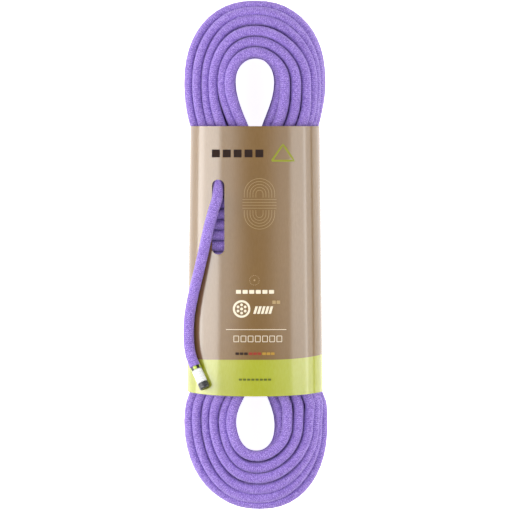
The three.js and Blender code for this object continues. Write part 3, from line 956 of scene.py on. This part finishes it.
def block(x, y, width, height, corner=0.4):
    """A rounded block, centred at x and y."""
    points = []
    for sx, sy, start in ((1, 1, 0), (-1, 1, 90), (-1, -1, 180), (1, -1, 270)):
        for i in range(4):
            angle = math.radians(start + 30 * i)
            points.append((x + sx * (width / 2 - corner) + corner * math.cos(angle),
                           y + sy * (height / 2 - corner) + corner * math.sin(angle)))
    return [points]


def stroke(points, width, closed=False):
    """A line of even width along points, as a chain of quads."""
    p = np.array(points, float)
    if closed:
        ahead = np.roll(p, -1, axis=0) - np.roll(p, 1, axis=0)
    else:
        ahead = np.gradient(p, axis=0)
    ahead /= np.linalg.norm(ahead, axis=1)[:, None]
    side = np.stack([-ahead[:, 1], ahead[:, 0]], axis=1) * width / 2
    left, right = p + side, p - side
    count = len(p)
    quads = []
    for i in range(count if closed else count - 1):
        j = (i + 1) % count
        quads.append([tuple(right[i]), tuple(right[j]), tuple(left[j]), tuple(left[i])])
    return quads


def ring(x, y, radius, width, steps=36):
    angles = [2 * math.pi * i / steps for i in range(steps)]
    return stroke([(x + radius * math.cos(a), y + radius * math.sin(a)) for a in angles], width, True)


def disc(x, y, radius, steps=16):
    angles = [2 * math.pi * i / steps for i in range(steps)]
    return [[(x + radius * math.cos(a), y + radius * math.sin(a)) for a in angles]]


def row_of_blocks(left, right, y, height, count, gap):
    """A row of equal blocks, with gaps between them, that reaches from left to right."""
    width = (right - left - gap * (count - 1)) / count
    shapes = []
    for i in range(count):
        middle = left + width / 2 + i * (width + gap)
        shapes += block(middle, y, width, height, min(0.45, height * 0.2))
    return shapes


def coil_sign():
    """Five upright oval loops with four level wraps round their middle: a plain sign for a hank."""
    x, y = 4.0, 46.5
    shapes = []
    for loop in range(5):
        radius = 3.2 + 2.6 * loop
        for side in (1, -1):
            points = [(x + radius, y + side * v) for v in np.linspace(5.6, 9.0, 3)]
            for i in range(1, 24):
                angle = math.pi * i / 24
                points.append((x + radius * math.cos(angle), y + side * (9.0 + radius * math.sin(angle))))
            points += [(x - radius, y + side * v) for v in np.linspace(9.0, 5.6, 3)]
            shapes += stroke(points, 0.32)
    for wrap in range(4):
        level = y - 3.9 + 2.6 * wrap
        shapes += stroke([(u, level) for u in np.linspace(x - 15.2, x + 15.2, 13)], 0.32)
    return shapes


def peak_sign():
    """One plain peak: an outlined triangle."""
    corners = [(15.0, 85.0), (25.0, 99.5), (35.0, 85.0), (15.0, 85.0)]
    points = []
    for a, b in zip(corners, corners[1:]):
        points += [(mix(a[0], b[0], i / 5), mix(a[1], b[1], i / 5)) for i in range(5)]
    points.append(corners[-1])
    return stroke(points, 1.6)


def rope_section_sign(x, y):
    """A ring with seven dots: the rope cut across."""
    shapes = ring(x, y, 6.9, 1.9)
    shapes += disc(x, y, 1.35)
    for i in range(6):
        angle = math.radians(60 * i + 30)
        shapes += disc(x + 3.7 * math.cos(angle), y + 3.7 * math.sin(angle), 1.25)
    return shapes


def rope_length_sign(x, y):
    """A short length of rope with its strands aslant."""
    shapes = []
    for i in range(5):
        left = x + 3.4 * i
        shapes.append([(left, y - 3.4), (left + 2.3, y - 3.4), (left + 4.3, y + 3.4), (left + 2.0, y + 3.4)])
    return shapes


def dotted_ring(x, y, radius, dots=18):
    shapes = []
    for i in range(dots):
        angle = 2 * math.pi * i / dots
        shapes += disc(x + radius * math.cos(angle), y + radius * math.sin(angle), 0.33, 8)
    return shapes + disc(x, y, 0.8)


def outlined_blocks(left, right, y, height, count):
    pitch = (right - left) / count
    shapes = []
    for i in range(count):
        middle = left + pitch * (i + 0.5)
        half, tall = pitch * 0.34, height / 2
        corners = [(middle - half, y - tall), (middle + half, y - tall),
                   (middle + half, y + tall), (middle - half, y + tall)]
        for a, b in zip(corners, corners[1:] + corners[:1]):
            shapes += stroke([a, b], 0.5)
    return shapes


def make_printing():
    cream = ink_material("ink_cream", rgb(0.80, 0.72, 0.56), 0.03)
    pale = ink_material("ink_pale", rgb(0.42, 0.30, 0.14), 0.05)
    brown = ink_material("ink_dark_brown", rgb(0.022, 0.010, 0.006), 0.01)
    lime = ink_material("ink_lime", rgb(0.270, 0.300, 0.016), 0.03)
    olive = ink_material("ink_olive", rgb(0.10, 0.12, 0.015), 0.03)
    red = ink_material("ink_red", rgb(0.30, 0.035, 0.020), 0.03)
    gold = ink_material("ink_gold", rgb(0.42, 0.24, 0.035), 0.03)
    print_mesh("print_title_blocks",
               row_of_blocks(-38.5, 7.5, 91.5, 7.0, 5, 2.6), brown)
    print_mesh("print_peaks", peak_sign(), lime)
    print_mesh("print_coil_sign", coil_sign(), pale)
    print_mesh("print_dotted_ring", dotted_ring(-0.5, -21.8, 4.3), pale)
    print_mesh("print_name_blocks",
               row_of_blocks(-17, 17, -32.2, 3.4, 6, 1.4), cream)
    print_mesh("print_rope_signs",
               rope_section_sign(-12.0, -47.5) + rope_length_sign(-1.6, -48.5), cream)
    print_mesh("print_small_blocks", row_of_blocks(15.5, 22.5, -41.5, 3.0, 2, 0.8), pale)
    rule = [(x, -66.0) for x in np.linspace(-26, 28, 12)]
    print_mesh("print_rule", stroke(rule, 0.5) + outlined_blocks(-20, 25, -74.3, 5.2, 7), cream)
    print_mesh("print_dark_blocks", row_of_blocks(-17.5, -6.5, -87.6, 2.3, 3, 0.7), brown)
    print_mesh("print_red_blocks", row_of_blocks(-5.5, 5.5, -87.6, 2.3, 3, 0.7), red)
    print_mesh("print_gold_blocks", row_of_blocks(6.5, 17.5, -87.6, 2.3, 3, 0.7), gold)
    print_mesh("print_band_blocks",
               row_of_blocks(-14.5, 14.5, -110.8, 1.9, 8, 0.9), olive)


make_printing()

# ---------------------------------------------------------------- the rope's two ends

BAND_LENGTH = 0.003
LABEL_LENGTH = 0.0125
CAP_LENGTH = 0.0058
END_GAP = 0.0003
END_SIDES = 48


def turned_piece(name, profile, origin, direction, folds=None):
    """A closed piece turned round an axis. The profile is a list of (distance along, radius)."""
    forward = Vector(direction).normalized()
    across = forward.orthogonal().normalized()
    other = forward.cross(across)
    vertices, faces, uv = [], [], []
    for along, radius in profile:
        for i in range(END_SIDES):
            angle = i / END_SIDES * 2 * math.pi
            r = radius + (folds(along, angle) if folds else 0.0)
            way = across * math.cos(angle) + other * math.sin(angle)
            vertices.append(tuple(Vector(origin) + forward * along + way * r))
    count = len(profile)
    for row in range(count - 1):
        for i in range(END_SIDES):
            j = (i + 1) % END_SIDES
            faces.append((row * END_SIDES + i, row * END_SIDES + j,
                          (row + 1) * END_SIDES + j, (row + 1) * END_SIDES + i))
            low, high = profile[row][0], profile[row + 1][0]
            left, right = i / END_SIDES, (i + 1) / END_SIDES
            uv += [(left, low), (right, low), (right, high), (left, high)]
    closed = profile[0] == profile[-1]
    if not closed:
        faces.append(tuple(range(END_SIDES))[::-1])
        faces.append(tuple((count - 1) * END_SIDES + i for i in range(END_SIDES)))
        uv += [(0.0, profile[0][0])] * END_SIDES + [(0.0, profile[-1][0])] * END_SIDES
    mesh = bpy.data.meshes.new(name)
    mesh.from_pydata(vertices, [], faces)
    mesh.uv_layers.new(name="lay").data.foreach_set("uv", [c for pair in uv for c in pair])
    built = bmesh.new()
    built.from_mesh(mesh)
    bmesh.ops.remove_doubles(built, verts=built.verts, dist=1e-7)
    bmesh.ops.recalc_face_normals(built, faces=built.faces)
    built.to_mesh(mesh)
    built.free()
    mesh.polygons.foreach_set("use_smooth", [True] * len(mesh.polygons))
    mesh.set_sharp_from_angle(angle=math.radians(35))
    return link(name, mesh)


def sleeve_profile(start, end, outer, inner):
    """A short tube with softened outer edges, as a closed profile."""
    soft = 0.00012
    return [(start, inner), (start, outer - soft), (start + soft, outer), (end - soft, outer),
            (end, outer - soft), (end, inner), (start, inner)]


def cap_profile(start):
    """A dipped tip with two shrink rings, a rounded shoulder and a dimpled end."""
    end = start + CAP_LENGTH
    profile = [(start, 0.0044), (start + 0.0001, ROPE_R - 0.0001), (start + 0.0003, ROPE_R + 0.00005)]
    for i in range(1, 22):
        along = mix(start + 0.0003, end - 0.0012, i / 22)
        ring = 0.00014 * (math.exp(-((along - start - 0.0014) / 0.00022) ** 2)
                          + math.exp(-((along - start - 0.0030) / 0.00022) ** 2))
        profile.append((along, ROPE_R - ring))
    for degrees in range(0, 91, 15):
        angle = math.radians(degrees)
        profile.append((end - 0.0012 + 0.0012 * math.sin(angle), ROPE_R - 0.0012 * (1 - math.cos(angle))))
    profile += [(end - 0.00015, 0.0026), (end - 0.0004, 0.0015), (end - 0.0005, 0.0006)]
    return profile


def cap_folds(start):
    def fold(along, angle):
        share = min(max((along - start - 0.0034) / 0.0020, 0.0), 1.0)
        return -0.00016 * share * (0.5 + 0.5 * math.cos(9 * angle))
    return fold


END_MATERIALS = {"band": band_material(), "label": label_material(), "film": film_material(),
                 "cap": cap_material(), "core": core_material()}


def rope_end(prefix, body, origin, direction):
    """The printed band, label, clear film and cap on one end of the rope."""
    band_start = END_GAP
    label_start = band_start + BAND_LENGTH + END_GAP
    label_end = label_start + LABEL_LENGTH
    cap_start = label_end + END_GAP
    wall = 0.0042
    pieces = [
        ("marker_band", sleeve_profile(band_start, band_start + BAND_LENGTH, ROPE_R, wall), "band", None),
        ("label", sleeve_profile(label_start, label_end, ROPE_R - 0.0003, wall), "label", None),
        ("label_film", sleeve_profile(label_start, label_end, ROPE_R, ROPE_R - 0.0002), "film", None),
        ("cap", cap_profile(cap_start), "cap", cap_folds(cap_start)),
    ]
    made = []
    for node, profile, kind, folds in pieces:
        piece = turned_piece("%s_%s_fine" % (prefix, node), profile, origin, direction, folds)
        set_material(piece, END_MATERIALS[kind])
        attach(piece, body)
        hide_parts("%s_%s" % (prefix, node))
        made.append(piece)
    set_material(bpy.data.objects[prefix + "_sealed_core"], END_MATERIALS["core"])
    return made


tail_direction = Vector(tail_route[-1] - tail_route[-4]).normalized()
tail_end_pieces = rope_end("tail_end", "tail", tail_route[-1], tail_direction)
inner_end_pieces = rope_end("inner_end", "hank", hank_route[0], (0.0, -1.0, 0.0))

# ---------------------------------------------------------------- declarations

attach(hank_rope, "hank")
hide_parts("rope_hank", "waist_wraps", "exit_turn")
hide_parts("tail_sheath", *["tail_core_strand_%d" % i for i in range(1, 8)])
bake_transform(tail_rope)

# ---------------------------------------------------------------- floor and light


def make_floor():
    bpy.ops.mesh.primitive_plane_add(size=8, location=(0, 0, -0.0005))
    floor = bpy.context.object
    floor.name = "floor"
    n = Nodes("floor")
    floor.data.materials.append(n.shade(base_color=rgb(0.9, 0.9, 0.9), roughness=0.9,
                                        emission_color=rgb(1, 1, 1), emission_strength=0.9))


def softbox(name, direction, near, far, distance, width, radiance):
    """A flat softbox on one side of the object, tilted to face it.

    It reaches from near to far degrees away from straight up, and its light is even over it.
    """
    side = Vector((math.cos(direction), math.sin(direction), 0.0))
    middle = Vector((0.0, 0.0, 0.07))

    def at(degrees):
        angle = math.radians(degrees)
        return middle + distance * (side * math.sin(angle) + Vector((0.0, 0.0, math.cos(angle))))

    low, high = at(far), at(near)
    height = (high - low).length
    data = bpy.data.lights.new(name, "AREA")
    data.shape = "RECTANGLE"
    data.size, data.size_y = width, height
    data.energy = radiance * math.pi * width * height
    light = bpy.data.objects.new(name, data)
    bpy.context.collection.objects.link(light)
    light.location = (low + high) / 2
    up = (high - low).normalized()
    right = Vector((-side.y, side.x, 0.0))
    back = right.cross(up)
    if back.dot(middle - light.location) > 0:
        right, back = -right, -back
    light.rotation_euler = Matrix((right, up, back)).transposed().to_euler()


def make_light():
    world = bpy.data.worlds.new("studio")
    world.use_nodes = True
    world.node_tree.nodes["Background"].inputs["Color"].default_value = (1, 1, 1, 1)
    world.node_tree.nodes["Background"].inputs["Strength"].default_value = 0.10
    bpy.context.scene.world = world
    softbox("left_softbox", math.pi, 8, 88, 1.8, 0.58, 5.6)
    softbox("left_low_softbox", math.pi, 62, 89, 1.7, 1.1, 1.5)
    softbox("right_softbox", 0.0, 8, 60, 1.8, 0.58, 3.6)
    softbox("right_low_softbox", 0.0, 54, 84, 1.7, 1.6, 2.6)
    softbox("far_softbox", math.pi / 2, 45, 80, 2.0, 0.6, 3.2)
    softbox("near_softbox", -math.pi / 2, 45, 80, 2.0, 0.6, 3.2)
    bpy.context.scene.view_settings.view_transform = "Standard"


make_floor()
make_light()
